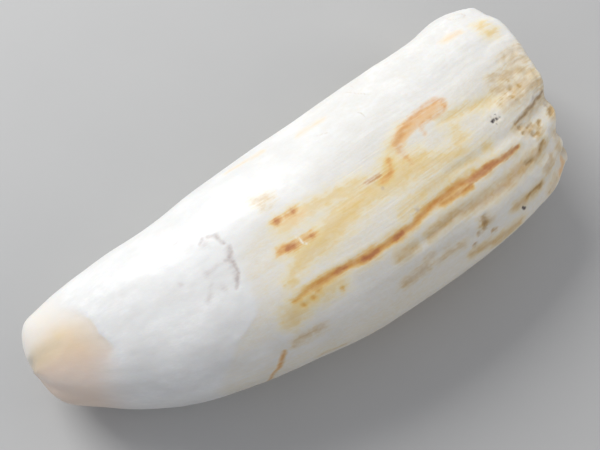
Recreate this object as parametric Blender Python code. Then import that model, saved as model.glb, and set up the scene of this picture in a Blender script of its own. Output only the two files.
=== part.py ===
"""A sperm whale tooth lying on its flatter side, for Blender 4.5.

The tooth grew as one piece, so it is one solid. Its skin starts as a sphere: one pole becomes the
worn tip, and the other is pushed in to make the floor of the pulp cavity, the hollow that every
such tooth has in the middle of its root. Each ring of the sphere becomes one section of the tooth.

Frame: metres, +Z up, X along the tooth from the tip to the rim of the root. The tooth bows
sideways: its hollow flank faces +Y and its round flank -Y. The origin is under its middle, on the
surface that it rests on.
"""

import math
from collections import namedtuple

import bmesh
import bpy
import numpy as np
from mathutils import Vector, noise

MM = 0.001

# Driving sizes, in millimetres
LENGTH = 161.0
WALL_AT_RIM = 0.36  # share of the half width that is wall at the mouth of the cavity
CAVITY_DEPTH = 46.0
LIP_ROUND = 3.4  # how far the rounded lip reaches past the straight wall
RIM_SLANT = 1.8  # how much shorter the round flank is than the hollow flank
RIM_REACH = 34.0  # how far from the rim its slant and chips still shift the skin
TIP_ROUND = 14.0  # radius of the blunt tip
BELLY_FLAT = 0.3  # how much of the belly is rubbed flat where the tooth rests
FULLNESS = 0.3  # how much fuller than an ellipse the body's section is

# Broad lumps, each a height and a span, and flutes, which strengthen towards the root
LUMPS = [(0.8, 34.0), (0.35, 13.0)]
FLUTE_HEIGHT = 0.75
FLUTE_LENGTH = 300.0
FLUTES_ROUND = 3.4

# The outline, in millimetres. Along is the distance from the tip. Hollow and round are how far the
# two flanks stand from the tip's own line, and back and belly are heights.
Station = namedtuple("Station", "along hollow round back belly")
STATIONS = [
    Station(0, 0.5, 0.5, 16.0, 16.0),
    Station(4, 13.4, -11.9, 24.5, 8.5),
    Station(10, 14.9, -16.7, 29.5, 5.0),
    Station(18, 16.0, -22.5, 33.5, 2.9),
    Station(30, 16.8, -29.3, 38.0, 1.3),
    Station(50, 17.4, -35.9, 42.5, 0.3),
    Station(75, 20.0, -39.4, 45.5, 0.0),
    Station(100, 21.9, -40.5, 46.0, 0.0),
    Station(125, 23.8, -39.3, 44.5, 0.0),
    Station(142, 26.3, -36.1, 42.0, 0.3),
    Station(152, 28.3, -33.3, 40.3, 0.9),
    Station(161, 27.6, -27.0, 38.6, 1.8),
]

# Rings and segments of the skin
SEGMENTS = 80
WALL_RINGS = 44
LIP_RINGS = 5
CAVITY_RINGS = 9
RINGS = WALL_RINGS + LIP_RINGS + CAVITY_RINGS

# Grooves that run along the outside and open towards the root. Turn is the angle round the tooth
# in degrees: 0 is the hollow flank, 90 the back, 180 the round flank and 270 the belly.
Groove = namedtuple("Groove", "turn_start turn_end start end depth width")
GROOVES = [
    Groove(76, 70, 100, 160, 0.5, 3.0),
    Groove(95, 88, 118, 160, 0.8, 3.2),
    Groove(113, 116, 140, 160, 1.6, 1.6),
    Groove(118, 108, 70, 150, 0.5, 2.6),
    Groove(132, 120, 112, 160, 0.8, 3.2),
    Groove(146, 132, 122, 160, 0.9, 3.0),
    Groove(160, 150, 98, 158, 0.7, 3.4),
    Groove(186, 180, 90, 160, 0.6, 4.0),
    Groove(214, 205, 110, 160, 0.8, 3.2),
    Groove(238, 232, 96, 160, 0.6, 3.6),
    Groove(268, 262, 118, 160, 0.7, 3.0),
    Groove(296, 290, 104, 160, 0.8, 3.4),
    Groove(322, 318, 92, 160, 0.6, 3.6),
    Groove(346, 350, 112, 160, 0.7, 3.0),
    Groove(22, 26, 120, 160, 0.6, 3.2),
    Groove(48, 46, 108, 160, 0.6, 3.4),
]

# Pieces broken from the rim: where round it, how far they reach back, and how wide they are.
# Where the depth is below 0, the rim stands proud.
Chip = namedtuple("Chip", "turn depth spread")
CHIPS = [
    Chip(198, 1.0, 14),
    Chip(178, -1.4, 8),
    Chip(162, 3.8, 8),
    Chip(140, 3.8, 10),
    Chip(115, 1.5, 7),
    Chip(72, -1.6, 20),
    Chip(8, 1.6, 12),
    Chip(226, 2.4, 16),
    Chip(276, 1.4, 12),
    Chip(318, 2.6, 15),
]

# The shallow valley worn across the tip
VALLEY_TURN = 152
VALLEY_DEPTH = 1.0
VALLEY_WIDTH = 3.2
VALLEY_REACH = 13.0

# Linear colour and roughness of the ivory
IVORY = (0.80, 0.76, 0.66, 1.0)
IVORY_ROUGHNESS = 0.42


def smooth_step(low, high, value):
    """0 below low, 1 above high, and an even slope between them."""
    share = min(1.0, max(0.0, (value - low) / (high - low)))
    return share * share * (3.0 - 2.0 * share)


def smooth_curve(field):
    """A curve through one column of the stations. It runs on the root of the distance from the
    tip, which makes the tip round."""
    at = np.sqrt([s.along for s in STATIONS])
    value = np.array([getattr(s, field) for s in STATIONS])
    slope = np.gradient(value, at)

    def read(along):
        x = math.sqrt(along)
        i = int(np.clip(np.searchsorted(at, x) - 1, 0, len(at) - 2))
        gap = at[i + 1] - at[i]
        t = (x - at[i]) / gap
        start = value[i] * (1 + 2 * t) * (1 - t) ** 2 + slope[i] * gap * t * (1 - t) ** 2
        end = value[i + 1] * t * t * (3 - 2 * t) + slope[i + 1] * gap * t * t * (t - 1)
        return float(start + end)

    return read


HOLLOW, ROUND, BACK, BELLY = (smooth_curve(f) for f in ("hollow", "round", "back", "belly"))


def section_point(along, turn):
    """A point of the oval section at that distance from the tip, in millimetres. The oval is an
    ellipse at the tip and a little fuller in the body."""
    hollow, round_side, back, belly = HOLLOW(along), ROUND(along), BACK(along), BELLY(along)
    power = 2.0 / (2.0 + FULLNESS * smooth_step(5, 40, along))
    angle = math.radians(turn)
    across = math.copysign(abs(math.cos(angle)) ** power, math.cos(angle))
    up = math.copysign(abs(math.sin(angle)) ** power, math.sin(angle))
    y = (hollow + round_side + (hollow - round_side) * across) / 2
    z = (back + belly + (back - belly) * up) / 2
    return Vector((along, y, z))


def core_point(along):
    """The middle of the section, or of the tip's own round where the section is near the tip."""
    inside = max(along, TIP_ROUND)
    y = (HOLLOW(inside) + ROUND(inside)) / 2
    return Vector((inside, y, (BACK(inside) + BELLY(inside)) / 2))


def turn_gap(a, b):
    """The smaller angle between two turns, in degrees."""
    return abs((a - b + 180.0) % 360.0 - 180.0)


def groove_depth(along, turn):
    """How deep the grooves are cut at this place, in millimetres."""
    radius = (BACK(along) - BELLY(along) + HOLLOW(along) - ROUND(along)) / 4
    depth = 0.0
    for g in GROOVES:
        if along < g.start:
            continue
        share = min(1.0, (along - g.start) / (g.end - g.start))
        middle = g.turn_start + (g.turn_end - g.turn_start) * share
        aside = math.radians(turn_gap(turn, middle)) * radius / g.width
        depth += g.depth * smooth_step(0.0, 0.7, share) * math.exp(-aside * aside)
    return depth


def valley_depth(point):
    """How deep the valley across the tip is cut at a point of the skin, in millimetres."""
    line = math.radians(VALLEY_TURN)
    out = point - core_point(0)
    aside = -math.sin(line) * out.y + math.cos(line) * out.z
    beyond = math.cos(line) * out.y + math.sin(line) * out.z
    across = math.exp(-((aside / VALLEY_WIDTH) ** 2))
    outward = smooth_step(-9.0, 3.0, beyond)
    return VALLEY_DEPTH * across * outward * (1 - smooth_step(2.0, VALLEY_REACH, point.x))


def relief(point, along, turn):
    """How far the outside stands out from the plain oval, in millimetres: broad lumps all over,
    flutes that strengthen towards the root, the grooves and the valley in the tip."""
    angle = math.radians(turn)
    lumps = sum(height * noise.noise(point / span) for height, span in LUMPS)
    lumps *= 0.25 + 0.75 * smooth_step(2, 45, along)
    flute_place = Vector((math.cos(angle), math.sin(angle), along / FLUTE_LENGTH)) * FLUTES_ROUND
    flutes = FLUTE_HEIGHT * noise.noise(flute_place) * smooth_step(55, 150, along)
    underneath = smooth_step(0.75, 0.97, -math.sin(angle)) * (1 - smooth_step(120, 150, along))
    waves = (lumps + flutes) * (1 - underneath)
    return waves - groove_depth(along, turn) - valley_depth(point)


def rim_loss(turn):
    """How far the rim falls short of the full length at this place, in millimetres."""
    angle = math.radians(turn)
    slant = RIM_SLANT * (1 - math.cos(angle)) / 2
    rough = 0.3 * noise.noise(Vector((2.6 * math.cos(angle), 2.6 * math.sin(angle), 4.0)))
    chips = sum(c.depth * math.exp(-((turn_gap(turn, c.turn) / c.spread) ** 2)) for c in CHIPS)
    return slant + rough + chips


def wall_point(ring, turn):
    """A point of the outside. The rings are closer together at the tip and at the rim."""
    longest = math.sqrt((LENGTH - LIP_ROUND + TIP_ROUND) ** 2 - TIP_ROUND**2)
    share = ring / WALL_RINGS
    share -= 0.45 * math.sin(2 * math.pi * share) / (2 * math.pi)
    along = math.sqrt((share * longest) ** 2 + TIP_ROUND**2) - TIP_ROUND
    point = section_point(along, turn)
    outward = (point - core_point(along)).normalized()
    point += outward * relief(point, along, turn)
    point.x -= rim_loss(turn) * smooth_step(LENGTH - RIM_REACH, LENGTH - LIP_ROUND, along)
    return point


def lip_point(ring, turn):
    """A point of the rounded lip, which turns from the outside into the mouth of the cavity."""
    edge = wall_point(WALL_RINGS, turn)
    roll = math.pi * ring / (LIP_RINGS + 1)
    inward = WALL_AT_RIM * (1 - math.cos(roll)) / 2
    middle = core_point(LENGTH - LIP_ROUND)
    point = edge.copy()
    point.y += (middle.y - edge.y) * inward
    point.z += (middle.z - edge.z) * inward
    point.x += LIP_ROUND * math.sin(roll) ** 0.8
    return point


def cavity_point(ring, turn):
    """A point of the pulp cavity, a tapering hollow with a rounded floor."""
    share = ring / (CAVITY_RINGS + 1)
    edge = wall_point(WALL_RINGS, turn)
    mouth = core_point(LENGTH - LIP_ROUND)
    middle = core_point(LENGTH - LIP_ROUND - CAVITY_DEPTH * share)
    ripple_place = Vector((math.cos(math.radians(turn)), share, 1.0)) * FLUTES_ROUND
    width = (1 - WALL_AT_RIM) * (1 - share**1.15) ** 0.8 * (1 + 0.05 * noise.noise(ripple_place))
    x = middle.x + (edge.x - mouth.x) * (1 - share)
    return Vector((x, middle.y + (edge.y - mouth.y) * width, middle.z + (edge.z - mouth.z) * width))


def place(ring, turn):
    """The place on the tooth of one vertex of the sphere, in millimetres."""
    if ring == 0:
        return section_point(0.0, turn)
    if ring <= WALL_RINGS:
        return wall_point(ring, turn)
    if ring <= WALL_RINGS + LIP_RINGS:
        return lip_point(ring - WALL_RINGS, turn)
    if ring <= RINGS:
        return cavity_point(ring - WALL_RINGS - LIP_RINGS - 1, turn)
    return core_point(LENGTH - LIP_ROUND - CAVITY_DEPTH)


def tooth_mesh():
    """The skin of the tooth, shaped from a sphere with one ring for each section."""
    skin = bmesh.new()
    bmesh.ops.create_uvsphere(skin, u_segments=SEGMENTS, v_segments=RINGS + 1, radius=1.0)
    for vertex in skin.verts:
        ring = round(math.acos(max(-1.0, min(1.0, vertex.co.z))) / math.pi * (RINGS + 1))
        turn = math.degrees(math.atan2(-vertex.co.y, vertex.co.x)) % 360.0
        vertex.co = place(ring, turn)
    stand_on_belly(skin)
    mesh = bpy.data.meshes.new("tooth")
    skin.to_mesh(mesh)
    skin.free()
    return mesh


def stand_on_belly(skin):
    """Rubs the belly flat, and moves the origin under the middle of the tooth, in metres."""
    lowest = min(v.co.z for v in skin.verts)
    ends = [(min(side), max(side)) for side in zip(*((v.co.x, v.co.y) for v in skin.verts))]
    middle = Vector((sum(ends[0]) / 2, sum(ends[1]) / 2, 0.0))
    for vertex in skin.verts:
        vertex.co.z = max(0.0, vertex.co.z - lowest - BELLY_FLAT)
        vertex.co = (vertex.co - middle) * MM


def ivory_material():
    """Old ivory: pale, a little yellow and softly polished."""
    ivory = bpy.data.materials.new("aged_ivory")
    ivory.use_nodes = True
    shader = ivory.node_tree.nodes["Principled BSDF"]
    shader.inputs["Base Color"].default_value = IVORY
    shader.inputs["Roughness"].default_value = IVORY_ROUGHNESS
    shader.inputs["Metallic"].default_value = 0.0
    return ivory


def main():
    for old in list(bpy.data.objects):
        bpy.data.objects.remove(old)
    collection = bpy.data.collections.new("whale_tooth")
    bpy.context.scene.collection.children.link(collection)
    tooth = bpy.data.objects.new("tooth", tooth_mesh())
    tooth.data.materials.append(ivory_material())
    tooth.data.shade_smooth()
    collection.objects.link(tooth)


main()
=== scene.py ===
"""A sperm whale tooth in worn ivory, dressed on its fixed frame, with a floor, light and a camera."""

import math
from collections import namedtuple

import bmesh
import bpy
import numpy as np
from bpy.props import FloatProperty, FloatVectorProperty, IntProperty, PointerProperty
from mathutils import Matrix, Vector, noise
from mathutils.bvhtree import BVHTree


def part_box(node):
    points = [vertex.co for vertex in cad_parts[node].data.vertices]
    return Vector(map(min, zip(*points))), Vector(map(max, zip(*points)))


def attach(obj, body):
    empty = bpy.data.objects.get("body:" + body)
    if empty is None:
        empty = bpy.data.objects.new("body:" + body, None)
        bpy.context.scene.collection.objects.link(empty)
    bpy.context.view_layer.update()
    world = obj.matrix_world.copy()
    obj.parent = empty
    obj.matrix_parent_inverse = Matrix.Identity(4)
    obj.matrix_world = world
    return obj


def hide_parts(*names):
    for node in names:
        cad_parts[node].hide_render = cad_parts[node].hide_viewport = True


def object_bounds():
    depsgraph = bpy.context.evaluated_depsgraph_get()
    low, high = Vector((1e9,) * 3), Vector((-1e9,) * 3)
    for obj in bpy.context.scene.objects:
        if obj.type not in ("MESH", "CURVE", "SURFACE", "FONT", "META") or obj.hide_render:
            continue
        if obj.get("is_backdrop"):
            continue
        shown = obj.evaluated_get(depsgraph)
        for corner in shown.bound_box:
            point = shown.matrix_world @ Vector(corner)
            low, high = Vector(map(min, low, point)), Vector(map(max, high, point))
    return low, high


bl_info = {
    "name": "Whale Tooth",
    "version": (1, 0, 0),
    "blender": (4, 5, 0),
    "location": "3D View > Sidebar > Whale Tooth",
    "description": "Dresses a whale tooth in worn ivory and sets it in a plain studio",
    "category": "Object",
}

MM = 0.001

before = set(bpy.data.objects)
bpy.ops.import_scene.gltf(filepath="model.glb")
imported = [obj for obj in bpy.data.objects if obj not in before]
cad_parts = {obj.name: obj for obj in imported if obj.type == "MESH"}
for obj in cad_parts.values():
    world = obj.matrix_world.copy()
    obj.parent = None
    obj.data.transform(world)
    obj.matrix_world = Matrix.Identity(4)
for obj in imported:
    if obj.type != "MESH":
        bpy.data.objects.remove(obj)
CAD_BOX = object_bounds()
CAD_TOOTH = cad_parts["tooth"]
HALF_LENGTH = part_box("tooth")[1].x / MM

# Marks are strokes: (along, turn, half width). Along is in millimetres from the tip, and half width
# in millimetres. Turn is the angle round the tooth in degrees: 0 is the hollow flank, 90 the back,
# 180 the round flank and 270 the belly. The marks of the visible side were picked on the
# photograph and carried over to the tooth.

# The long rusty streak on the round side of the back, with the specks at its start, and its
# darkest stretches
STREAK = [
    [
        (68.2, 128, 0.18), (70.5, 127, 0.26), (72.7, 126, 0.41), (75.3, 126, 0.62),
        (78, 126, 0.77), (80.7, 126, 0.85), (83.2, 126, 0.67), (85.1, 126, 0.67),
        (87.8, 127, 1.03), (90, 127, 1.13), (92.2, 127, 0.97), (94.7, 127, 0.62),
        (96.7, 127, 0.67), (98.9, 127, 1.03), (101.2, 127, 0.87), (103.4, 127, 0.67),
        (108.8, 125, 0.82), (113.6, 125, 0.77), (116.5, 125, 0.77), (119.7, 125, 0.87),
        (123.5, 127, 0.92), (125.8, 127, 0.97), (128.1, 128, 0.82), (131, 128, 0.59),
        (134.8, 129, 0.36), (140.9, 133, 0.18),
    ],
    [(112.7, 127, 0.51), (116.5, 128, 0.62), (120, 129, 0.67), (123, 130, 0.62)],
    [(70, 132, 0.23)],
    [(72.8, 131, 0.28)],
    [(74.5, 129, 0.36)],
    [(80.1, 135, 0.26)],
]
STREAK_CORE = [
    [(81.2, 126, 0.41), (83.2, 126, 0.26)],
    [(88.3, 127, 0.51), (90.6, 128, 0.51), (92.2, 127, 0.41)],
    [(98.2, 127, 0.51), (100.2, 127, 0.41)],
    [
        (123.1, 128, 0.41), (125.9, 128, 0.56), (128.9, 128, 0.56), (131.4, 128, 0.46),
        (134.7, 129, 0.36), (138.4, 131, 0.26), (140.6, 132, 0.18),
    ],
]

# The brown loop nearer the rim, and the paler stain inside it
LOOP = [
    [
        (129.5, 77, 0.51), (130, 73, 0.56), (128.8, 71, 0.62), (126.4, 70, 0.67),
        (123.1, 71, 0.72), (119.3, 72, 0.77), (116, 74, 0.87), (113.4, 78, 1.13), (112, 81, 1.13),
        (111.6, 85, 0.67),
    ],
    [
        (129.5, 77, 0.51), (128.1, 80, 0.62), (126.3, 80, 0.62), (123.9, 79, 0.56),
        (121.9, 78, 0.51), (120.3, 80, 0.51), (119.9, 84, 0.41), (119.8, 85, 0.26),
    ],
    [(111.6, 85, 0.62), (111.9, 90, 0.33), (112.2, 93, 0.31), (112.2, 97, 0.26)],
]
LOOP_FILL = [
    [
        (128.3, 75, 0.77), (124.3, 75, 1.08), (120.2, 75, 1.28), (116.3, 76, 1.28),
        (113.5, 80, 0.92),
    ],
]

# Short rusty smudges over the streak, and their dark middles
SMUDGES = [
    [(74.4, 81, 0.56), (75.1, 81, 0.82), (76.2, 81, 0.41)],
    [(77.6, 81, 0.33)],
    [(78.6, 81, 0.46), (79.6, 81, 0.67), (80.4, 80, 0.41)],
    [(71.2, 99, 0.56), (72.7, 99, 0.87), (74.6, 100, 1.03), (76.3, 100, 0.72)],
    [(78.2, 100, 0.51), (79.7, 100, 0.67), (80.6, 100, 0.82), (81.4, 100, 0.36)],
    [(103, 96, 0.41), (104.9, 95, 0.56), (106.6, 93, 0.41)],
    [(107, 90, 0.26), (107.9, 87, 0.41)],
]
SMUDGE_CORES = [
    [(99.3, 91, 0.31), (101, 91, 0.38), (103.3, 91, 0.31)],
    [(73.8, 100, 0.41), (75.5, 100, 0.51)],
    [(80.4, 100, 0.36)],
    [(75, 81, 0.36)],
    [(79.6, 80, 0.31)],
]

# Faint peach strokes on the hollow flank and by the rim
PEACH = [
    [(76.4, 85, 0.77), (78.6, 86, 1.03), (81.6, 85, 0.82)],
    [(143, 38, 0.67), (145.4, 39, 0.92), (148, 40, 0.67)],
    [(72, 29, 0.1), (76.2, 30, 0.15), (83, 31, 0.1)],
    [(92.9, 38, 0.08), (100.8, 38, 0.08)],
]

# The yellow wash round the streak, the smudges and the loop
WASH = [
    [
        (74.4, 111, 0.9), (76.2, 108, 1.54), (80.7, 107, 1.92), (86.6, 103, 2.31),
        (92.4, 100, 2.31), (98.3, 97, 2.05), (103.2, 98, 2.31), (109.2, 100, 2.05),
        (116, 103, 1.28), (122.2, 108, 0.77), (126.6, 112, 0.41),
    ],
    [(75.4, 87, 0.77), (80.7, 85, 0.77), (86.2, 85, 0.77), (92.2, 87, 0.77), (98.5, 89, 0.77)],
    [(125.8, 85, 0.08), (131.2, 87, 0.15), (136.7, 91, 0.21), (142.3, 96, 0.15)],
    [(65.8, 135, 1.79), (70.2, 131, 1.67), (75.1, 131, 1.28), (80.4, 131, 0.62)],
    [(102.5, 119, 0.26), (111.2, 116, 0.1), (119.7, 116, 0.1), (127.9, 119, 0.1)],
    [(73.7, 111, 0.51), (71.6, 115, 0.51), (69.9, 119, 0.51)],
    [
        (102.5, 95, 1.28), (105.7, 93, 1.28), (107.6, 89, 1.28), (110.7, 95, 1.28),
        (115.2, 97, 1.28),
    ],
    [(127.6, 96, 0.51)],
    [(127.8, 103, 0.72), (126.1, 103, 0.46)],
    [(132.6, 118, 0.51)],
    [(154.3, 45, 0.46), (155.3, 45, 0.56)],
    [(154.5, 54, 0.46), (156.2, 54, 0.26)],
    [(115.8, 74, 0.26), (109.9, 83, 0.51)],
]

# Tan patches, golden stains and a brown edge by the rim
TAN = [
    [(145, 84, 0.62), (149.5, 87, 1.54), (154.2, 91, 1.54), (156.4, 99, 1.28)],
    [(144.6, 93, 1.03), (149.3, 99, 2.05), (153.5, 105, 2.05), (156.7, 113, 1.03)],
    [(144, 104, 1.03), (146.7, 107, 1.54), (150, 109, 1.03)],
    [(151.4, 77, 0.51), (156.2, 76, 0.87), (159.5, 73, 0.62)],
    [(153.4, 83, 1.28), (157.8, 87, 1.13)],
    [(156.7, 100, 1.28), (157.7, 111, 1.03)],
    [(157.5, 125, 0.46), (153.9, 124, 0.67), (149.9, 122, 0.56), (146.7, 122, 0.31)],
    [(73.1, 62, 0.41), (74.8, 63, 0.51), (77, 65, 0.36)],
    [(74, 67, 0.26), (75.4, 69, 0.21)],
    [(144, 125, 1.28), (145.9, 130, 1.28), (149.5, 134, 1.03), (148.9, 138, 0.77)],
    [(143.7, 108, 0.77)],
    [(63.9, 149, 0.77), (65.4, 148, 1.03), (67.2, 148, 0.77)],
    [(69.3, 148, 0.77), (71.5, 148, 0.64)],
    [(68.1, 170, 0.38), (71.5, 171, 0.38), (75.2, 172, 0.38)],
    [(104.4, 148, 0.77), (100.1, 150, 1.03), (94.9, 151, 0.77)],
    [(113.9, 153, 0.51), (109.4, 151, 0.51), (106.1, 151, 0.51)],
    [(149.5, 155, 1.28), (146.8, 156, 1.28)],
    [(154.4, 147, 0.77), (154.1, 152, 0.77), (153.6, 157, 1.03)],
    [(122.3, 150, 1.54)],
    [(157.2, 133, 0.77), (156.5, 137, 0.62)],
    [(150.2, 171, 0.77), (146.6, 171, 0.77)],
]
GOLD = [
    [
        (149, 143, 0.67), (146.6, 145, 0.87), (142, 143, 1.28), (135.5, 142, 1.18),
        (129.8, 142, 1.13), (122.9, 140, 0.87), (114.2, 136, 0.77), (106.3, 137, 0.62),
    ],
    [(143.8, 161, 0.62), (140.5, 160, 1.03), (136.7, 159, 0.92), (132.7, 157, 0.62)],
    [
        (134, 169, 0.62), (129.3, 169, 0.87), (124.8, 168, 0.92), (120.2, 165, 0.82),
        (116.1, 164, 0.62),
    ],
    [(101.3, 137, 0.51), (96.5, 137, 0.51)],
    [(103, 96, 0.87), (105.4, 94, 0.92), (107.2, 91, 0.67)],
]
RIM_BROWN = [
    [(155.5, 170, 0.51), (155.2, 174, 0.67), (152.9, 173, 0.51)],
]

# Pits in the root, and the black dots by the rim
PITS = [
    [(148, 130, 0.41), (146.8, 130, 0.26)],
    [(150.4, 134, 0.36), (151.1, 133, 0.26)],
    [(147, 135, 0.67), (148.5, 136, 0.36)],
    [(148.9, 142, 0.51), (147.1, 144, 0.62)],
    [(156.9, 133, 0.62), (155.8, 135, 0.67)],
    [(144.3, 125, 0.46)],
    [(144.5, 129, 0.33)],
    [(122.3, 147, 0.59), (121.2, 153, 0.67)],
    [(123.7, 159, 0.44), (124.8, 160, 0.26)],
    [(119.3, 154, 0.46)],
    [(117.2, 159, 0.38)],
    [(143.4, 161, 0.67), (140.5, 160, 0.72), (138, 159, 0.41)],
    [(142.6, 144, 0.56), (141, 143, 0.41)],
    [(146.7, 100, 0.18)],
    [(148.9, 99, 0.18)],
    [(147.6, 106, 0.18)],
    [(151.4, 102, 0.18)],
    [(144.6, 102, 0.15)],
    [(149.5, 93, 0.15)],
]
BLACK = [
    [(138.1, 108, 0.41), (138.7, 108, 0.33)],
    [(139.7, 109, 0.31)],
    [(140, 106, 0.1)],
    [(140.7, 110, 0.15)],
    [(138.6, 105, 0.08)],
    [(138.9, 112, 0.08)],
    [(136.1, 164, 0.36), (135.3, 162, 0.23)],
]

# Grey marks that branch over the body, and softer ones round them
GREY = [
    [(55.7, 66, 0.13), (57, 64, 0.15)],
    [(58.3, 65, 0.21), (59.7, 66, 0.13)],
    [(60.3, 67, 0.33), (60.9, 73, 0.28), (61.2, 75, 0.15)],
    [(61.8, 78, 0.18), (61.3, 82, 0.31), (60.1, 85, 0.23)],
    [
        (58.7, 85, 0.13), (59.7, 87, 0.26), (60.4, 89, 0.26), (60.3, 92, 0.21), (60.2, 96, 0.26),
        (59.1, 100, 0.31), (58.7, 102, 0.18), (57.8, 105, 0.23),
    ],
    [(153, 117, 0.31)],
    [(156, 130, 0.44)],
    [(102.2, 100, 0.28)],
    [(106.8, 122, 0.28)],
]
GREY_SOFT = [
    [(57.5, 71, 0.21)],
    [(53.3, 94, 0.13), (52.2, 96, 0.13)],
    [(54.7, 99, 0.21)],
    [(53.5, 87, 0.62)],
    [(55.2, 99, 0.67), (55.2, 103, 0.31)],
    [(51.4, 100, 0.62), (50.1, 103, 0.36)],
    [(58.8, 87, 0.21), (56.9, 85, 0.15), (54.7, 87, 0.15)],
    [(56.8, 68, 0.77)],
    [(61, 80, 0.62), (59.7, 92, 0.62), (58.7, 100, 0.62)],
    [(46.4, 83, 0.51)],
    [(50.1, 57, 0.51), (51.7, 55, 0.26)],
]

# The rusty crack where the root starts, the pale scratch across a smudge, and thin lines on
# the hollow flank
CRACKS = [
    [
        (59.9, 152, 0.26), (58.3, 158, 0.46), (56.8, 163, 0.41), (54.8, 168, 0.31),
        (53.3, 185, 0.26),
    ],
]
SCRATCHES = [
    [(76.9, 96, 0.18), (77.3, 99, 0.26), (77.8, 102, 0.26), (78.7, 104, 0.21)],
]
PENCIL = [
    [
        (150.2, 23, 0.1), (152.1, 23, 0.1), (153.6, 26, 0.1), (154.6, 29, 0.1), (153.7, 30, 0.1),
        (151.6, 29, 0.1), (150, 27, 0.1), (150.2, 23, 0.1),
    ],
    [(111.2, 29, 0.1), (113, 35, 0.1), (114.7, 40, 0.15), (116.5, 42, 0.1)],
    [(109.3, 48, 0.1), (109.7, 51, 0.15), (109.8, 56, 0.1)],
    [(96.5, 47, 0.1), (99.4, 49, 0.1)],
    [(113.7, 26, 0.08), (113.7, 33, 0.08)],
]

# Hidden sides: rusty streaks, tan valleys and a wash in the manner of the visible ones
FAR_STREAK = [
    [(84, 214, 0.4), (92, 215, 0.9), (104, 213, 1.1), (118, 214, 0.8), (131, 212, 0.4)],
    [(70, 322, 0.4), (79, 321, 0.8), (88, 322, 0.6), (97, 320, 0.3)],
]
FAR_TAN = [
    [(96, 192, 0.6), (112, 190, 1.1), (130, 188, 1.0), (146, 187, 0.6)],
    [(58, 236, 0.5), (74, 238, 1.3), (95, 236, 1.2), (112, 237, 0.6)],
    [(110, 262, 0.7), (128, 262, 1.4), (150, 260, 1.6), (158, 258, 1.2)],
    [(88, 290, 0.6), (104, 292, 1.3), (126, 291, 1.0), (148, 290, 1.4)],
    [(120, 336, 0.6), (138, 338, 1.2), (156, 340, 1.6)],
]
FAR_WASH = [
    [(72, 226, 1.4), (92, 224, 2.6), (116, 226, 2.2), (138, 224, 1.4)],
    [(66, 276, 1.4), (90, 278, 2.8), (120, 276, 2.4), (150, 276, 2.0)],
    [(92, 306, 1.0), (112, 308, 1.8), (136, 306, 1.6)],
]

TAN += FAR_TAN
WASH += FAR_WASH

# The crack that runs back from the rim
CREVICE = [
    [
        (157.4, 120, 0.44), (155.4, 121, 0.41), (152.2, 121, 0.38), (149.2, 121, 0.33),
        (146.4, 121, 0.28), (143.9, 121, 0.21),
    ],
]

# Furrows in the root, which open towards the rim
FURROWS = [
    [
        (101.3, 137, 0.41), (107.3, 138, 0.62), (115.2, 137, 0.82), (122.9, 140, 1.08),
        (130.9, 142, 1.28), (139.9, 144, 1.28), (148.1, 148, 1.28),
    ],
    [
        (116.1, 152, 0.51), (125.3, 157, 0.87), (134.2, 158, 1.13), (143, 161, 1.28),
        (151.3, 169, 1.28),
    ],
    [(104.4, 148, 0.62), (109.7, 149, 0.77), (116.5, 150, 0.67)],
    [
        (119.7, 116, 0.36), (127.9, 119, 0.51), (136.6, 121, 0.77), (144.3, 125, 0.87),
        (150.8, 126, 0.77),
    ],
    [(125.8, 85, 0.41), (135.1, 90, 0.67), (144.6, 97, 0.87), (151.8, 102, 0.77)],
]
FURROWS += FAR_TAN

# The valley worn across the tip, tinted olive partly in its own colour and partly as painted shade
# in its low fold, and the amber spot above it
TIP_VALLEY = [
    [(1.4, 71, 1.03), (4.9, 83, 1.28), (8.2, 83, 1.13), (11.1, 83, 0.77)],
]
YELLOW_SPOT = [
    [(12.6, 71, 0.77), (13.7, 72, 0.77)],
]

# Lines that go round the tooth: the end of the worn cap of dentine at the tip, and the start of
# the grained root. Each point is (turn, along, softness of the edge in millimetres).
TIP_EDGE = [
    (0, 15.0, 4.0), (36, 16.3, 4.0), (52, 19.2, 2.6), (64, 21.3, 1.0), (71, 22.6, 0.5),
    (81, 23.1, 0.4), (87, 22.8, 0.4), (96, 24.0, 0.5), (104, 24.3, 1.2), (114, 22.5, 3.4),
    (127, 21.2, 5.0), (144, 19.7, 6.0), (164, 18.6, 6.0), (200, 17.0, 4.0), (240, 15.0, 2.0),
    (290, 14.2, 1.5), (330, 14.4, 3.0),
]
ROOT_EDGE = [
    (0, 70, 9.0), (36, 70.3, 9.0), (59, 69.6, 8.0), (74, 66.8, 6.0), (89, 63.7, 4.0),
    (105, 61.6, 2.4), (118, 60.8, 1.6), (125, 58.6, 1.0), (130, 54.8, 0.9), (134, 50.8, 1.0),
    (141, 48.5, 1.2), (148, 45, 1.6), (163, 41.1, 3.0), (200, 44, 4.0), (240, 52, 4.0),
    (280, 60, 5.0), (330, 67, 8.0),
]
# How warm the root's ivory is at each turn: 0 is white and 1 is cream.
WARMTH = [
    (0, 0.04), (54, 0.06), (72, 0.2), (88, 0.7), (95, 0.9), (106, 0.9), (113, 0.75), (122, 0.65),
    (130, 0.8), (140, 0.4), (150, 0.35), (165, 0.7), (190, 0.8), (260, 0.9), (310, 0.6), (340, 0.2),
]

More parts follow.
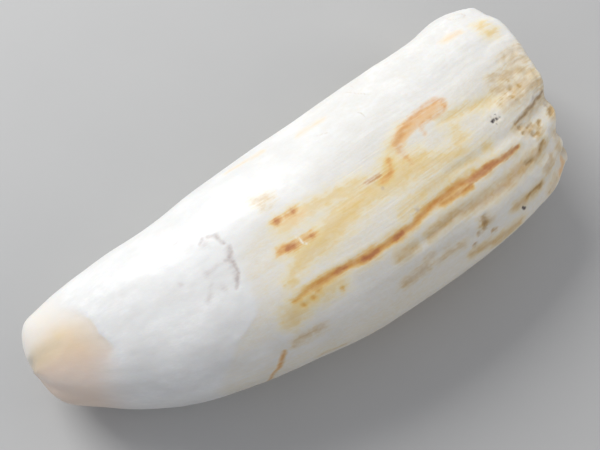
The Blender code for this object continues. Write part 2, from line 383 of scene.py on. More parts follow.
# A layer of stain. Each stop is (millimetres outside the stroke, colour, strength). Stray is how
# far noise pushes its edge in millimetres, and patchy is how much noise thins it.
Layer = namedtuple("Layer", "name strokes stray patchy stops")
LAYERS = [
    Layer("wash", WASH, 2.4, 0.3, [
        (-2.0, "#e3c582", 1.0), (0.0, "#e7cd90", 0.9), (1.6, "#ecdcae", 0.55),
        (3.8, "#f0e8d0", 0.0),
    ]),
    Layer("tan", TAN, 2.2, 0.5, [
        (-1.2, "#c9aa74", 0.85), (0.0, "#d6bb88", 0.7), (0.9, "#e2d0a6", 0.45),
        (2.4, "#ece4d0", 0.0),
    ]),
    Layer("gold", GOLD, 1.3, 0.35, [
        (-1.2, "#c79c50", 0.9), (0.0, "#d4b270", 0.8), (1.0, "#dfc890", 0.55),
        (2.6, "#ece2c6", 0.0),
    ]),
    # The valley's olive tint is partly its own colour and partly painted shade in the low fold.
    Layer("olive", TIP_VALLEY, 0.8, 0.2, [
        (-1.0, "#d8c8a4", 0.4), (0.5, "#dcceae", 0.28), (2.8, "#e2d6bc", 0.0),
    ]),
    Layer("amber", YELLOW_SPOT, 0.6, 0.2, [(-0.8, "#e9d0a0", 0.45), (1.8, "#e9d6b2", 0.0)]),
    Layer("halo", STREAK + SMUDGES + FAR_STREAK, 1.1, 0.25, [
        (-0.6, "#e2b25c", 0.9), (0.2, "#e7c274", 0.8), (0.9, "#ead08c", 0.4),
        (2.2, "#f0e6c0", 0.0),
    ]),
    Layer("peach", PEACH, 1.0, 0.35, [
        (-0.8, "#ecca98", 0.75), (0.4, "#f0d8b0", 0.5), (1.6, "#f2e4ca", 0.0),
    ]),
    Layer("clay", LOOP_FILL + RIM_BROWN, 0.8, 0.3, [
        (-1.0, "#e0ad6c", 0.9), (0.2, "#e4ba82", 0.8), (1.2, "#eed6b0", 0.0),
    ]),
    Layer("loop", LOOP, 0.8, 0.45, [
        (-0.9, "#d09250", 0.85), (-0.3, "#dba364", 0.7), (0.3, "#e5bb80", 0.4),
        (0.9, "#eed4a8", 0.0),
    ]),
    Layer("rust", SMUDGES, 0.8, 0.35, [
        (-0.9, "#cf8f4a", 0.95), (-0.3, "#daa05c", 0.85), (0.3, "#e5ba7c", 0.5),
        (0.9, "#eed4a8", 0.0),
    ]),
    Layer("streak", STREAK + CRACKS + FAR_STREAK, 0.4, 0.4, [
        (-1.1, "#c07c38", 0.97), (-0.4, "#ce9044", 0.94), (0.1, "#dcaa58", 0.7),
        (0.8, "#e8c884", 0.0),
    ]),
    Layer("russet", STREAK_CORE + SMUDGE_CORES, 0.7, 0.35, [
        (-0.6, "#a65c3a", 0.85), (0.1, "#b87046", 0.6), (0.7, "#cc9060", 0.0),
    ]),
    Layer("pit", PITS, 1.0, 0.4, [
        (-0.7, "#a37d45", 0.95), (0.0, "#bd9a60", 0.8), (0.9, "#d6bd88", 0.0),
    ]),
    Layer("dusk", GREY_SOFT, 0.8, 0.3, [(-0.5, "#c4bab4", 0.5), (0.8, "#d8d2cc", 0.0)]),
    Layer("grey", GREY, 0.2, 0.5, [
        (-0.35, "#9c8880", 0.8), (0.1, "#b3a299", 0.5), (0.6, "#d0c6be", 0.0),
    ]),
    Layer("black", BLACK, 0.15, 0.0, [
        (-0.15, "#3c3331", 0.97), (0.05, "#5c504a", 0.7), (0.35, "#a89a8c", 0.0),
    ]),
    Layer("crevice", CREVICE, 0.3, 0.2, [
        (-0.15, "#9a7440", 0.8), (0.15, "#b08c58", 0.45), (0.6, "#d2bc92", 0.0),
    ]),
    Layer("pencil", PENCIL, 0.1, 0.3, [(-0.1, "#bfab8c", 0.7), (0.25, "#d8cdb8", 0.0)]),
    Layer("scratch", SCRATCHES, 0.1, 0.0, [(-0.1, "#f5eeda", 0.9), (0.3, "#f0e6cc", 0.0)]),
]
GAP_LOW, GAP_HIGH = -3.0, 6.0  # the reach of every layer's stops, in millimetres
STROKE_MARGIN = 2.0  # added to that reach for a stroke's own width, in millimetres
STAIN_WANDER = 0.35  # how far stains wander off their strokes, in millimetres

# The cap's colour from the hollow flank over the back to the round flank. Towards the round flank
# the stops are lighter, as painted light for the light that the tapering tip catches there.
CAP_TINT_AND_LIGHT_STOPS = [
    (0.0, "#ebe6dd", 1.0), (0.2, "#ebe2d4", 1.0), (0.36, "#ead6b9", 1.0), (0.5, "#e5cdae", 1.0),
    (0.66, "#e8d1bb", 1.0), (0.84, "#eedccc", 1.0), (1.0, "#e6d0bc", 1.0),
]
CAP_FULL = 7.0  # how deep inside its edge the cap's colour is full, in millimetres

# Noises on the surface: length along the tooth and width across it in millimetres, and detail.
# The fibres are drawn about twice as coarse as real ones, which wouldn't show.
NOISES = {
    "clouds": (16.0, 9.0, 4.0),
    "patches": (22.0, 6.0, 4.0),
    "bands": (44.0, 2.6, 4.0),
    "fibres": (13.0, 0.7, 4.0),
    "mottle": (3.4, 2.0, 4.0),
    "specks": (1.8, 1.2, 5.0),
    "dust": (1.1, 0.5, 2.0),
    "blots": (9.0, 5.5, 5.0),
}
# Attributes of the skin that the shader reads, besides one for each layer of stain
MARKS = ("in_cap", "cap_depth", "rooted", "warmth", "outside", "flank")

# The relief besides what the settings hold, as heights and depths in millimetres
RIB_HEIGHT = 0.3  # low ribs that run to the rim
SWELL_HEIGHT = 0.12  # slow unevenness
RIPPLE_HEIGHT = 0.04  # quicker unevenness
CAP_LIP = 0.06  # lip round the worn cap
ROOT_STEP = 0.09  # the root lies that much below the body
VALLEY_DEPTH = 0.2  # the tip's valley
NOTCH_DEPTH = 0.35  # how much deeper the valley is at its end on the outline
STREAK_DEPTH = 0.12
GREY_DEPTH = 0.08
PORE_DEPTH = 0.2  # in the tan patches by the rim
RIM_ROUGHNESS = 0.1
CREVICE_SHARE = 1.1  # depth of the rim's crack, in furrow depths

# The tooth's section is measured at even steps along it, in millimetres
SECTION_COUNT = 25
SECTION_REACH = 4.5  # how far to each side a section takes in points
FIRST_SECTION = 4  # from the tip
LAST_SECTION = 6  # from the rim
WELL_OUTSIDE = 0.2  # a distance that is outside the tooth on any side, in metres

CAVITY_START = 60.0  # no part of the pulp cavity is nearer to the tip, in millimetres
ROOT_FADE = 45.0  # how long the root takes to reach its full roughness, in millimetres
GRAIN_RADIUS = 25.0  # the tooth's mean radius, for noise that runs round it, in millimetres

# The skin is finer above a height, and finest near the small marks, in millimetres
UPPER_SIDE = 14.0
UPPER_EDGE = 1.1  # edges longer than this are halved on the upper side
# (strokes, how far outside them the skin is finer, edges longer than this are halved)
FINE_MARKS = [
    (CRACKS + CREVICE + BLACK + PITS + GREY, 0.7, 0.5),
    (CREVICE + BLACK + GREY, 0.5, 0.35),
]

CAMERA_AIM = Vector((2.4, 2.3, 20.0)) * MM

# Large soft lights, in metres: (name, place, size, colour)
LIGHT_AIM = (0.0, 0.0, 0.02)
LIGHTS = [
    ("key", (-0.12, 0.62, 0.55), 0.45, "#fdfeff"),
    ("side", (0.6, -0.35, 0.35), 0.3, "#fffaf2"),
]
SKY = "#e3e7f2"  # the cool light all round
FLOOR_REACH = 3.0  # half the floor's width, in metres


def linear(hex_colour, alpha=1.0):
    """An sRGB hex colour as the linear colour that the shaders and lights read."""
    levels = [int(hex_colour[i : i + 2], 16) / 255 for i in (1, 3, 5)]
    return tuple(c / 12.92 if c <= 0.04045 else ((c + 0.055) / 1.055) ** 2.4 for c in levels) + (alpha,)


def smooth_step(low, high, value):
    """0 below low, 1 above high, and an even slope between them, on numbers or arrays."""
    share = np.clip((value - low) / (high - low), 0.0, 1.0)
    return share * share * (3.0 - 2.0 * share)


class ToothSettings(bpy.types.PropertyGroup):
    """Sizes and colours of the tooth's surface."""

    levels: IntProperty(
        name="Smoothing", description="How often the skin is subdivided", default=2, min=1, max=2
    )
    grain_height: FloatProperty(
        name="Grain Height", description="How far the root's lengthwise grain stands out",
        default=0.00005, unit="LENGTH", precision=5,
    )
    cap_step: FloatProperty(
        name="Cap Step", description="How far the worn cap of the tip lies below its border",
        default=0.00018, unit="LENGTH", precision=5,
    )
    furrow_depth: FloatProperty(
        name="Furrow Depth", description="Depth of the furrows that run to the rim",
        default=0.00025, unit="LENGTH", precision=5,
    )
    pit_depth: FloatProperty(
        name="Pit Depth", description="Depth of the pits in the root", default=0.00035,
        unit="LENGTH", precision=5,
    )
    white: FloatVectorProperty(
        name="White", description="Smooth ivory of the body", subtype="COLOR", size=4,
        default=linear("#f6f5f1"),
    )
    shade: FloatVectorProperty(
        name="Shade", description="Greyer clouds in the white", subtype="COLOR", size=4,
        default=linear("#e5e4e0"),
    )
    dusk: FloatVectorProperty(
        name="Dusk", description="Faint grey blots in the white", subtype="COLOR", size=4,
        default=linear("#c6c1b8"),
    )
    cream: FloatVectorProperty(
        name="Cream", description="Bands and fibres of the root", subtype="COLOR", size=4,
        default=linear("#e4d6b6"),
    )
    beige: FloatVectorProperty(
        name="Beige", description="Start of the grained root", subtype="COLOR", size=4,
        default=linear("#ded7c6"),
    )
    hollow: FloatVectorProperty(
        name="Hollow", description="Inside of the pulp cavity", subtype="COLOR", size=4,
        default=linear("#bfa880"),
    )
    hollow_shade: FloatVectorProperty(
        name="Hollow Shade", description="Browner streaks in the pulp cavity", subtype="COLOR",
        size=4, default=linear("#9c8058"),
    )


class StudioSettings(bpy.types.PropertyGroup):
    """Camera, light and floor."""

    azimuth: FloatProperty(
        name="Azimuth", description="Camera's turn about the tooth", subtype="ANGLE",
        default=math.radians(-32.1),
    )
    elevation: FloatProperty(
        name="Elevation", description="Camera's height as an angle", subtype="ANGLE",
        default=math.radians(73.3),
    )
    distance: FloatProperty(
        name="Distance", description="From the camera to the tooth", default=0.2319, unit="LENGTH"
    )
    field_of_view: FloatProperty(
        name="Field of View", description="Width of the view", subtype="ANGLE",
        default=math.radians(40.0),
    )
    key_power: FloatProperty(
        name="Key Light", description="Power of the large light, in watts", default=6.1, min=0.0
    )
    side_power: FloatProperty(
        name="Side Light", description="Power of the weak light at the root's end, in watts",
        default=1.0, min=0.0,
    )
    fill: FloatProperty(
        name="Fill", description="Strength of the light all round", default=0.5, min=0.0
    )
    floor: FloatVectorProperty(
        name="Floor", description="Colour of the floor", subtype="COLOR", size=4,
        default=linear("#bebdba"),
    )


def section_lines():
    """The middle and the half size of the section, in Y and in Z, along the tooth. Each row is
    (x, middle y, middle z, half y, half z) in millimetres."""
    points = np.array([v.co for v in CAD_TOOTH.data.vertices]) / MM
    rows = []
    first, last = -HALF_LENGTH + FIRST_SECTION, HALF_LENGTH - LAST_SECTION
    for x in np.linspace(first, last, SECTION_COUNT):
        near = points[np.abs(points[:, 0] - x) < SECTION_REACH][:, 1:]
        low, high = near.min(axis=0), near.max(axis=0)
        rows.append([x, *((low + high) / 2), *((high - low) / 2)])
    return np.array(rows)


SECTIONS = section_lines()


def section_at(x, column):
    """One column of the section lines, read at x."""
    return np.interp(x, SECTIONS[:, 0], SECTIONS[:, column])


def skin_tree():
    """The outside of the tooth, for finding where a line from outside meets it."""
    skin = bmesh.new()
    skin.from_mesh(CAD_TOOTH.data)
    tree = BVHTree.FromBMesh(skin)
    skin.free()
    return tree


def on_skin(tree, along, turn):
    """The point of the skin at a place given by along and turn, in millimetres."""
    x = along - HALF_LENGTH
    middle = Vector((x, section_at(x, 1), section_at(x, 2))) * MM
    outward = Vector((0.0, math.cos(math.radians(turn)), math.sin(math.radians(turn))))
    hit = tree.ray_cast(middle + outward * WELL_OUTSIDE, -outward)[0]
    if hit is None:
        raise RuntimeError(f"no skin at {along} mm, {turn} degrees")
    return np.array(hit) / MM


def stroke_points(tree, stroke):
    """The stroke's points on the skin with their half widths, one more between each two so that
    the line follows the curve of the skin."""
    rows = []
    for here, there in zip(stroke, stroke[1:] + stroke[-1:]):
        for share in (0.0, 0.5):
            along, turn, width = (a + (b - a) * share for a, b in zip(here, there))
            rows.append([*on_skin(tree, along, turn), width])
    return np.array(rows)


def gap_to_stroke(points, line):
    """How far each point lies outside the stroke, in millimetres; below 0 is inside."""
    gap = np.full(len(points), np.inf)
    for a, b in zip(line[:-1], line[1:]):
        run = b[:3] - a[:3]
        share = np.clip((points - a[:3]) @ run / max(run @ run, 1e-6), 0.0, 1.0)
        away = np.linalg.norm(points - a[:3] - share[:, None] * run, axis=1)
        gap = np.minimum(gap, away - (a[3] + (b[3] - a[3]) * share))
    return gap


def gap_to_strokes(points, tree, strokes):
    """How far each point lies outside the nearest of the strokes."""
    gap = np.full(len(points), GAP_HIGH)
    reach = GAP_HIGH + STROKE_MARGIN
    for stroke in strokes:
        line = stroke_points(tree, stroke)
        low, high = line[:, :3].min(axis=0) - reach, line[:, :3].max(axis=0) + reach
        near = np.all((points > low) & (points < high), axis=1)
        gap[near] = np.minimum(gap[near], gap_to_stroke(points[near], line))
    return gap


def round_the_tooth(line, turn, column):
    """Reads one column of a line that goes round the tooth at each turn."""
    turns = [row[0] for row in line]
    return np.interp(turn, turns, [row[column] for row in line], period=360.0)


def noise_at(places, scale, seed=0.0):
    """Smooth noise between about -1 and 1 at each place."""
    shift = Vector((seed, seed * 1.7, seed * 2.3))
    return np.array([noise.noise(Vector(p * scale) + shift) for p in places])


def write_attribute(mesh, name, values):
    """Stores one number for each vertex, which the shader reads by name."""
    layer = mesh.attributes.new(name, "FLOAT", "POINT")
    layer.data.foreach_set("value", np.asarray(values, dtype=np.float32))


def vertex_array(vertices, key):
    """One vector of each vertex, as the rows of an array."""
    values = np.empty(len(vertices) * 3)
    vertices.foreach_get(key, values)
    return values.reshape(-1, 3)


def fine_skin(levels):
    """A smooth copy of the tooth's skin, finer on the upper side and finest along its cracks,
    pits and grey marks."""
    skin = bmesh.new()
    skin.from_mesh(CAD_TOOTH.data)
    bmesh.ops.remove_doubles(skin, verts=skin.verts, dist=0.01 * MM)
    bmesh.ops.join_triangles(
        skin, faces=skin.faces, angle_face_threshold=0.9, angle_shape_threshold=1.6
    )
    mesh = bpy.data.meshes.new("whale_tooth")
    skin.to_mesh(mesh)
    piece = bpy.data.objects.new("whale_tooth", mesh)
    bpy.context.scene.collection.objects.link(piece)
    smooth = piece.modifiers.new("smooth", "SUBSURF")
    smooth.levels = smooth.render_levels = levels
    graph = bpy.context.evaluated_depsgraph_get()
    fine = bpy.data.meshes.new_from_object(piece.evaluated_get(graph))
    piece.modifiers.clear()
    skin.clear()
    skin.from_mesh(fine)
    bpy.data.meshes.remove(fine)
    split_edges(skin, [e for e in skin.edges if e.verts[0].co.z > UPPER_SIDE * MM], UPPER_EDGE)
    for strokes, reach, longest in FINE_MARKS:
        split_edges(skin, edges_near(skin, strokes, reach), longest)
    skin.to_mesh(mesh)
    skin.free()
    return piece


def edges_near(skin, strokes, reach):
    """The edges of the skin that start within reach of the strokes."""
    tree = skin_tree()
    points = np.array([v.co for v in skin.verts]) / MM
    near = gap_to_strokes(points, tree, strokes) < reach
    return [e for e in skin.edges if near[e.verts[0].index]]


def split_edges(skin, edges, longest):
    """Halves those of the edges that are longer than that many millimetres."""
    long_edges = [e for e in edges if e.calc_length() > longest * MM]
    bmesh.ops.subdivide_edges(skin, edges=long_edges, cuts=1)
    skin.verts.index_update()


# Where the skin's points lie, with one row for each: co and along in millimetres, turn in degrees,
# outside from 0 in the pulp cavity to 1 on the skin, and grain as the place that noise reads
Places = namedtuple("Places", "co along turn outside grain")


def skin_places(mesh):
    """Where each point of the mesh lies on the tooth."""
    co = vertex_array(mesh.vertices, "co") / MM
    across = co[:, 1] - section_at(co[:, 0], 1)
    up = co[:, 2] - section_at(co[:, 0], 2)
    along = co[:, 0] + HALF_LENGTH
    angle = np.arctan2(up, across)
    outness = np.hypot(across / section_at(co[:, 0], 3), up / section_at(co[:, 0], 4))
    outside = np.where(along > CAVITY_START, smooth_step(0.72, 0.92, outness), 1.0)
    grain = np.stack([along, GRAIN_RADIUS * np.cos(angle), GRAIN_RADIUS * np.sin(angle)], axis=1)
    return Places(co, along, np.degrees(angle) % 360.0, outside, grain)


def skin_marks(places):
    """The zones of the tooth at each point: its cap, its root and how warm the ivory is."""
    turn = places.turn
    cap_depth = round_the_tooth(TIP_EDGE, turn, 1) - places.along
    in_root = places.along - round_the_tooth(ROOT_EDGE, turn, 1)
    root_edge = in_root / round_the_tooth(ROOT_EDGE, turn, 2)
    return {
        "in_cap": cap_depth / round_the_tooth(TIP_EDGE, turn, 2),
        "cap_depth": cap_depth,
        "in_root": in_root,
        "root_edge": root_edge,
        "rooted": smooth_step(0.0, ROOT_FADE, in_root) * places.outside,
        "warmth": round_the_tooth(WARMTH, turn, 1) * smooth_step(-1.0, 1.0, root_edge),
        "outside": places.outside,
        "flank": places.grain[:, 1] / GRAIN_RADIUS,
    }


def stain_gaps(places, tree):
    """How far each point lies outside each layer's strokes, off which the stains wander a little."""
    wander = np.stack([noise_at(places.co, 0.4, seed) for seed in (21.0, 22.0, 23.0)], axis=1)
    strayed = places.co + STAIN_WANDER * wander
    return {layer.name: gap_to_strokes(strayed, tree, layer.strokes) for layer in LAYERS}


def grown_relief(places, marks, settings):
    """The height that growth gave each point, in millimetres: the root's grain and ribs, slow
    unevenness, and the steps at the cap and at the root."""
    co, outside = places.co, places.outside
    stretched = places.grain * np.array([0.03, 1.0, 1.0])
    lines = noise_at(stretched, 0.5) + 0.7 * noise_at(stretched, 1.2, 4.0)
    relief = settings.grain_height / MM * lines * marks["rooted"]
    ribs = noise_at(places.grain * np.array([0.012, 1.0, 1.0]), 0.22, 8.0)
    relief += RIB_HEIGHT * ribs * smooth_step(40, 95, marks["in_root"]) * outside
    relief += SWELL_HEIGHT * noise_at(co, 0.13, 2.0) + RIPPLE_HEIGHT * noise_at(co, 0.5, 3.0)
    crisp = 1 / round_the_tooth(TIP_EDGE, places.turn, 2)
    relief -= settings.cap_step / MM * smooth_step(-1.0, 1.0, marks["in_cap"])
    relief += CAP_LIP * crisp * np.exp(-((marks["in_cap"] + 1.0) ** 2))
    relief -= ROOT_STEP * smooth_step(-1.0, 1.0, marks["root_edge"])
    return relief


def worn_depth(places, gaps, tree, settings):
    """How far wear and decay have sunk each point, in millimetres."""
    co, along = places.co, places.along
    furrow_depth = settings.furrow_depth / MM
    depth = furrow_depth * smooth_step(1.6, -0.8, gap_to_strokes(co, tree, FURROWS))
    crevice = gap_to_strokes(co, tree, CREVICE)
    depth += CREVICE_SHARE * furrow_depth * smooth_step(0.7, -0.4, crevice)
    valley = gap_to_strokes(co, tree, TIP_VALLEY)
    depth += VALLEY_DEPTH * smooth_step(2.4, -1.2, valley)
    depth += NOTCH_DEPTH * smooth_step(1.6, -0.8, valley) * smooth_step(5.0, 1.0, along)
    depth += STREAK_DEPTH * smooth_step(0.9, -0.5, gaps["streak"])
    depth += GREY_DEPTH * smooth_step(0.5, -0.3, gaps["grey"])
    for name in ("pit", "black"):
        depth += settings.pit_depth / MM * smooth_step(0.8, -0.6, gaps[name])
    rough = noise_at(co, 1.1, 9.0) + noise_at(co, 0.5, 11.0)
    at_rim = smooth_step(112, 142, along) * places.outside
    depth -= PORE_DEPTH * np.minimum(rough, 0.2) * smooth_step(1.6, -0.6, gaps["tan"]) * at_rim
    depth -= RIM_ROUGHNESS * rough * at_rim
    return depth


def carve(piece, settings):
    """Works the fine relief into the skin, and stores where the stains lie."""
    mesh = piece.data
    normals = vertex_array(mesh.vertex_normals, "vector")
    places = skin_places(mesh)
    marks = skin_marks(places)
    tree = skin_tree()
    gaps = stain_gaps(places, tree)
    relief = grown_relief(places, marks, settings) - worn_depth(places, gaps, tree, settings)

    low, high = (np.array(corner) / MM for corner in CAD_BOX)
    co = np.clip(places.co + normals * relief[:, None], low, high)
    mesh.vertices.foreach_set("co", (co * MM).ravel())
    mesh.update()

    for name, gap in gaps.items():
        write_attribute(mesh, name, gap)
    for name in MARKS:
        write_attribute(mesh, name, marks[name])
    layer = mesh.attributes.new("grain", "FLOAT_VECTOR", "POINT")
    layer.data.foreach_set("vector", places.grain.astype(np.float32).ravel())


def add_node(tree, kind, inputs=None, output=None, **settings):
    """Adds a node, applies its settings and fills its inputs, each named or numbered, with a value
    or another node's output. Returns the output that is named, or else the first in use."""
    node = tree.nodes.new(kind)
    for key, value in settings.items():
        setattr(node, key, value)
    for key, value in (inputs or {}).items():
        named = [socket for socket in node.inputs if socket.name == key and socket.enabled]
        socket = named[0] if named else node.inputs[key]
        if isinstance(value, bpy.types.NodeSocket):
            tree.links.new(value, socket)
        else:
            socket.default_value = value
    return node.outputs[output] if output else next(s for s in node.outputs if s.enabled)


def fill_ramp(ramp, stops):
    """Gives a colour ramp its stops, each a place from 0 to 1, a colour and a strength."""
    while len(ramp.elements) < len(stops):
        ramp.elements.new(1.0)
    for element, (place, colour, strength) in zip(ramp.elements, stops):
        element.position = place
        element.color = linear(colour, strength)


def surface_noises(tree):
    """The noises that every part of the pattern reads, each about 0 to 1. They run on the grain,
    which follows the tooth lengthwise."""
    grain = add_node(tree, "ShaderNodeAttribute", output="Vector", attribute_name="grain")
    noises = {}
    for seed, (name, (length, width, detail)) in enumerate(NOISES.items()):
        place = add_node(
            tree, "ShaderNodeMapping",
            {"Vector": grain, "Location": (seed * 7.3, seed * 3.1, seed * 5.7),
             "Scale": (1 / length, 1 / width, 1 / width)},
        )
        rough = add_node(
            tree, "ShaderNodeTexNoise",
            {"Vector": place, "Scale": 1.0, "Detail": detail, "Roughness": 0.55, "Distortion": 0.2},
        )
        noises[name] = add_node(
            tree, "ShaderNodeMapRange",
            {"Value": rough, "From Min": 0.3, "From Max": 0.7}, interpolation_type="SMOOTHSTEP",
        )
    return noises


def body_colour(tree, settings, noises, marks):
    """White with greyer clouds and blots, and the root's bands and fibres over it."""
    colour = add_node(
        tree, "ShaderNodeMix", {"Factor": noises["clouds"], "A": settings.white, "B": settings.shade},
        data_type="RGBA",
    )
    for noise_name, mark, tint, strength in (
        ("mottle", "outside", settings.shade, 0.5),
        ("blots", "outside", settings.dusk, 0.25),
        ("clouds", "warmth", settings.beige, 0.8),
        ("patches", "warmth", settings.beige, 1.0),
        ("bands", "warmth", settings.cream, 0.65),
        ("fibres", "warmth", settings.cream, 0.55),
        ("specks", "rooted", settings.beige, 0.4),
        ("dust", "outside", settings.shade, 0.5),
    ):
        share = add_node(
            tree, "ShaderNodeMath", {0: noises[noise_name], 1: marks[mark]}, operation="MULTIPLY"
        )
        share = add_node(tree, "ShaderNodeMath", {0: share, 1: strength}, operation="MULTIPLY")
        colour = add_node(
            tree, "ShaderNodeMix", {"Factor": share, "A": colour, "B": tint}, data_type="RGBA"
        )
    return colour


def add_cap(tree, colour, cap, marks):
    """Lays the worn cap of the tip over the colour: cream at the hollow flank, peach on top and
    browner below, where it is also lightened as painted light for the light that the tapering
    tip catches."""
    cap_tint_and_light = add_node(
        tree, "ShaderNodeMapRange", {"Value": marks["flank"], "From Min": 1.0, "From Max": -1.0}
    )
    cap_tint_and_light = add_node(tree, "ShaderNodeValToRGB", {"Fac": cap_tint_and_light})
    # The ramp's lighter stops towards the round flank are painted light on the tapering tip.
    fill_ramp(cap_tint_and_light.node.color_ramp, CAP_TINT_AND_LIGHT_STOPS)
    deep = add_node(
        tree, "ShaderNodeMapRange",
        {"Value": marks["cap_depth"], "From Max": CAP_FULL, "To Min": 0.45, "To Max": 1.0},
    )
    share = add_node(tree, "ShaderNodeMath", {0: cap, 1: deep}, operation="MULTIPLY")
    return add_node(
        tree, "ShaderNodeMix", {"Factor": share, "A": colour, "B": cap_tint_and_light}, data_type="RGBA"
    )


def add_stains(tree, colour, noises, marks):
    """Lays the stains over the colour, each ramp read by how far a place lies from its strokes."""
    wander = add_node(
        tree, "ShaderNodeMath", {0: noises["specks"], 1: noises["fibres"]}, operation="ADD"
    )
    wander = add_node(tree, "ShaderNodeMath", {0: wander, 1: 1.0}, operation="SUBTRACT")
    for layer in LAYERS:
        gap = add_node(
            tree, "ShaderNodeMath", {0: wander, 1: layer.stray * 0.6, 2: marks[layer.name]},
            operation="MULTIPLY_ADD",
        )
        reach = add_node(
            tree, "ShaderNodeMapRange", {"Value": gap, "From Min": GAP_LOW, "From Max": GAP_HIGH}
        )
        ramp = add_node(tree, "ShaderNodeValToRGB", {"Fac": reach})
        places = [((gap - GAP_LOW) / (GAP_HIGH - GAP_LOW), *rest) for gap, *rest in layer.stops]
        fill_ramp(ramp.node.color_ramp, places)
        thin = add_node(
            tree, "ShaderNodeMath", {0: noises["mottle"], 1: -layer.patchy, 2: 1.0},
            operation="MULTIPLY_ADD",
        )
        share = add_node(
            tree, "ShaderNodeMath", {0: ramp.node.outputs["Alpha"], 1: thin}, operation="MULTIPLY"
        )
        colour = add_node(
            tree, "ShaderNodeMix", {"Factor": share, "A": colour, "B": ramp}, data_type="RGBA"
        )
    return colour


def add_hollow(tree, colour, settings, noises, marks):
    """Lays the brown of the pulp cavity over the colour."""
    inside = add_node(
        tree, "ShaderNodeMix",
        {"Factor": noises["patches"], "A": settings.hollow, "B": settings.hollow_shade},
        data_type="RGBA",
    )
    return add_node(
        tree, "ShaderNodeMix", {"Factor": marks["outside"], "A": inside, "B": colour},
        data_type="RGBA",
    )


def gloss_of(tree, cap, noises, marks):
    """Roughness: the body has a soft sheen, the cap is glossier and the root duller."""
    gloss = add_node(
        tree, "ShaderNodeMath", {0: marks["rooted"], 1: 0.2, 2: 0.38}, operation="MULTIPLY_ADD"
    )
    gloss = add_node(tree, "ShaderNodeMath", {0: cap, 1: -0.1, 2: gloss}, operation="MULTIPLY_ADD")
    return add_node(
        tree, "ShaderNodeMath", {0: noises["specks"], 1: 0.08, 2: gloss}, operation="MULTIPLY_ADD"
    )


def fibre_bump(tree, noises, marks):
    """Fibres and specks too fine for the mesh."""
    height = add_node(
        tree, "ShaderNodeMath", {0: noises["fibres"], 1: marks["rooted"]}, operation="MULTIPLY"
    )
    height = add_node(
        tree, "ShaderNodeMath", {0: noises["specks"], 1: 0.3, 2: height}, operation="MULTIPLY_ADD"
    )
    return add_node(
        tree, "ShaderNodeBump", {"Strength": 0.5, "Distance": 0.06 * MM, "Height": height}
    )


def worn_ivory(settings):
    """Worn ivory: dentine and cementum that grew in layers, rubbed smooth by years of handling.
    To the eye it is a soft white with a low sheen and a little depth. The tip is bare dentine,
    peach and glossier. The root is rougher, with a lengthwise grain and rusty stains."""
    material = bpy.data.materials.new("worn_ivory")
    material.use_nodes = True
    tree = material.node_tree
    shader = tree.nodes["Principled BSDF"]
    noises = surface_noises(tree)
    marks = {
        name: add_node(tree, "ShaderNodeAttribute", output="Fac", attribute_name=name)
        for name in (*MARKS, *(layer.name for layer in LAYERS))
    }
    cap = add_node(
        tree, "ShaderNodeMapRange", {"Value": marks["in_cap"], "From Min": -1.0, "From Max": 1.0},
        interpolation_type="SMOOTHSTEP",
    )
    colour = body_colour(tree, settings, noises, marks)
    colour = add_cap(tree, colour, cap, marks)
    colour = add_stains(tree, colour, noises, marks)
    colour = add_hollow(tree, colour, settings, noises, marks)
    tree.links.new(colour, shader.inputs["Base Color"])
    tree.links.new(gloss_of(tree, cap, noises, marks), shader.inputs["Roughness"])
    tree.links.new(fibre_bump(tree, noises, marks), shader.inputs["Normal"])
    shader.inputs["IOR"].default_value = 1.54
    shader.inputs["Subsurface Weight"].default_value = 0.15
    shader.inputs["Subsurface Radius"].default_value = (1.0, 0.7, 0.45)
    shader.inputs["Subsurface Scale"].default_value = 1.2 * MM
    return material


def painted_board(colour):
    """Matt painted board: pale and even, with a faint mottle so that it doesn't look like paper."""
    material = bpy.data.materials.new("painted_board")
    material.use_nodes = True
    tree = material.node_tree
    shader = tree.nodes["Principled BSDF"]
    place = add_node(tree, "ShaderNodeTexCoord", output="Object")
    mottle = add_node(tree, "ShaderNodeTexNoise", {"Vector": place, "Scale": 40.0, "Detail": 4.0})
    deeper = tuple(0.96 * level for level in colour[:3]) + (1.0,)
    tint = add_node(
        tree, "ShaderNodeMix", {"Factor": mottle, "A": colour, "B": deeper}, data_type="RGBA"
    )
    tree.links.new(tint, shader.inputs["Base Color"])
    shader.inputs["Roughness"].default_value = 0.85
    return material


class TOOTH_OT_skin(bpy.types.Operator):
    """Dress the tooth: fine relief, stains and worn ivory"""

    bl_idname = "whale_tooth.skin"
    bl_label = "Dress Tooth"

    def execute(self, context):
        settings = context.scene.whale_tooth
        piece = fine_skin(settings.levels)
        carve(piece, settings)
        piece.data.materials.clear()
        piece.data.materials.append(worn_ivory(settings))
        piece.data.shade_smooth()
        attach(piece, "root")
        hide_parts("tooth")
        return {"FINISHED"}


class TOOTH_OT_studio(bpy.types.Operator):
    """Add the floor, the lights and the camera"""

    bl_idname = "whale_tooth.studio"
    bl_label = "Add Studio"

    def execute(self, context):
        settings = context.scene.tooth_studio
        add_floor(settings)
        add_lights(settings)
        add_camera(settings)
        return {"FINISHED"}


def add_floor(settings):
    """A wide plain floor at the height that the tooth rests on."""
    board = bmesh.new()
    bmesh.ops.create_grid(board, x_segments=1, y_segments=1, size=FLOOR_REACH)
    mesh = bpy.data.meshes.new("floor")
    board.to_mesh(mesh)
    board.free()
    floor = bpy.data.objects.new("floor", mesh)
    floor.data.materials.append(painted_board(tuple(settings.floor)))
    bpy.context.scene.collection.objects.link(floor)
    floor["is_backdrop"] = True


def add_light(name, place, size, colour, power):
    """A square soft light at a place, turned to the tooth."""
    lamp = bpy.data.lights.new(name, "AREA")
    lamp.shape = "SQUARE"
    lamp.size = size
    lamp.energy = power
    lamp.color = linear(colour)[:3]
    light = bpy.data.objects.new(name, lamp)
    light.location = place
    light.rotation_euler = (Vector(place) - Vector(LIGHT_AIM)).to_track_quat("Z", "Y").to_euler()
    bpy.context.scene.collection.objects.link(light)


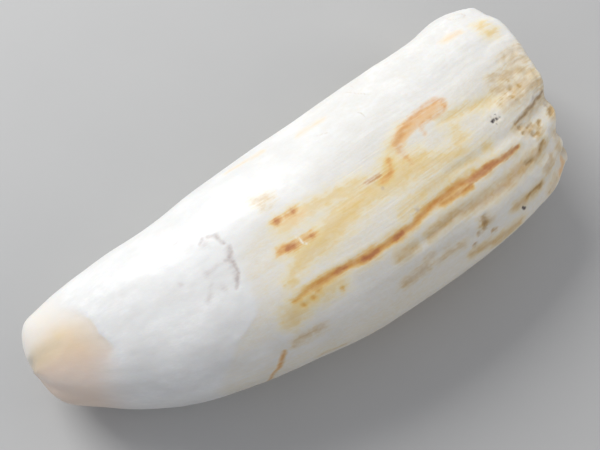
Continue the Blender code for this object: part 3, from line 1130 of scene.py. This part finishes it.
def add_lights(settings):
    """A large light beyond the hollow flank, a weak one at the root's end and a cool fill."""
    for name, place, size, colour in LIGHTS:
        add_light(name, place, size, colour, getattr(settings, f"{name}_power"))
    scene = bpy.context.scene
    world = bpy.data.worlds.new("studio")
    world.use_nodes = True
    backdrop = world.node_tree.nodes["Background"]
    backdrop.inputs["Color"].default_value = linear(SKY)
    backdrop.inputs["Strength"].default_value = settings.fill
    scene.world = world
    scene.view_settings.view_transform = "Standard"


def add_camera(settings):
    """The camera, high over the round flank."""
    scene = bpy.context.scene
    azimuth, elevation = settings.azimuth, settings.elevation
    back = Vector(
        (
            math.sin(azimuth) * math.cos(elevation),
            -math.cos(azimuth) * math.cos(elevation),
            math.sin(elevation),
        )
    )
    lens = bpy.data.cameras.new("camera")
    lens.angle = settings.field_of_view
    lens.clip_start = 10 * MM
    camera = bpy.data.objects.new("camera", lens)
    camera.location = CAMERA_AIM + back * settings.distance
    camera.rotation_euler = (math.pi / 2 - elevation, 0.0, azimuth)
    scene.collection.objects.link(camera)
    scene.camera = camera


class TOOTH_PT_panel(bpy.types.Panel):
    """Lists the tooth's operators and settings"""

    bl_idname = "TOOTH_PT_panel"
    bl_label = "Whale Tooth"
    bl_space_type = "VIEW_3D"
    bl_region_type = "UI"
    bl_category = "Whale Tooth"

    def draw(self, context):
        layout = self.layout
        for settings, operator in (
            (context.scene.whale_tooth, TOOTH_OT_skin),
            (context.scene.tooth_studio, TOOTH_OT_studio),
        ):
            box = layout.box()
            for name in settings.__annotations__:
                box.prop(settings, name)
            box.operator(operator.bl_idname)


CLASSES = (ToothSettings, StudioSettings, TOOTH_OT_skin, TOOTH_OT_studio, TOOTH_PT_panel)


def register():
    for cls in CLASSES:
        bpy.utils.register_class(cls)
    bpy.types.Scene.whale_tooth = PointerProperty(type=ToothSettings)
    bpy.types.Scene.tooth_studio = PointerProperty(type=StudioSettings)


def unregister():
    del bpy.types.Scene.tooth_studio
    del bpy.types.Scene.whale_tooth
    for cls in reversed(CLASSES):
        bpy.utils.unregister_class(cls)


def main():
    register()
    bpy.ops.whale_tooth.skin()
    bpy.ops.whale_tooth.studio()
    boxes = {"cad": CAD_BOX, "visual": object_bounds()}
    sizes = {name: [list(corner) for corner in box] for name, box in boxes.items()}


if __name__ == "__main__":
    main()
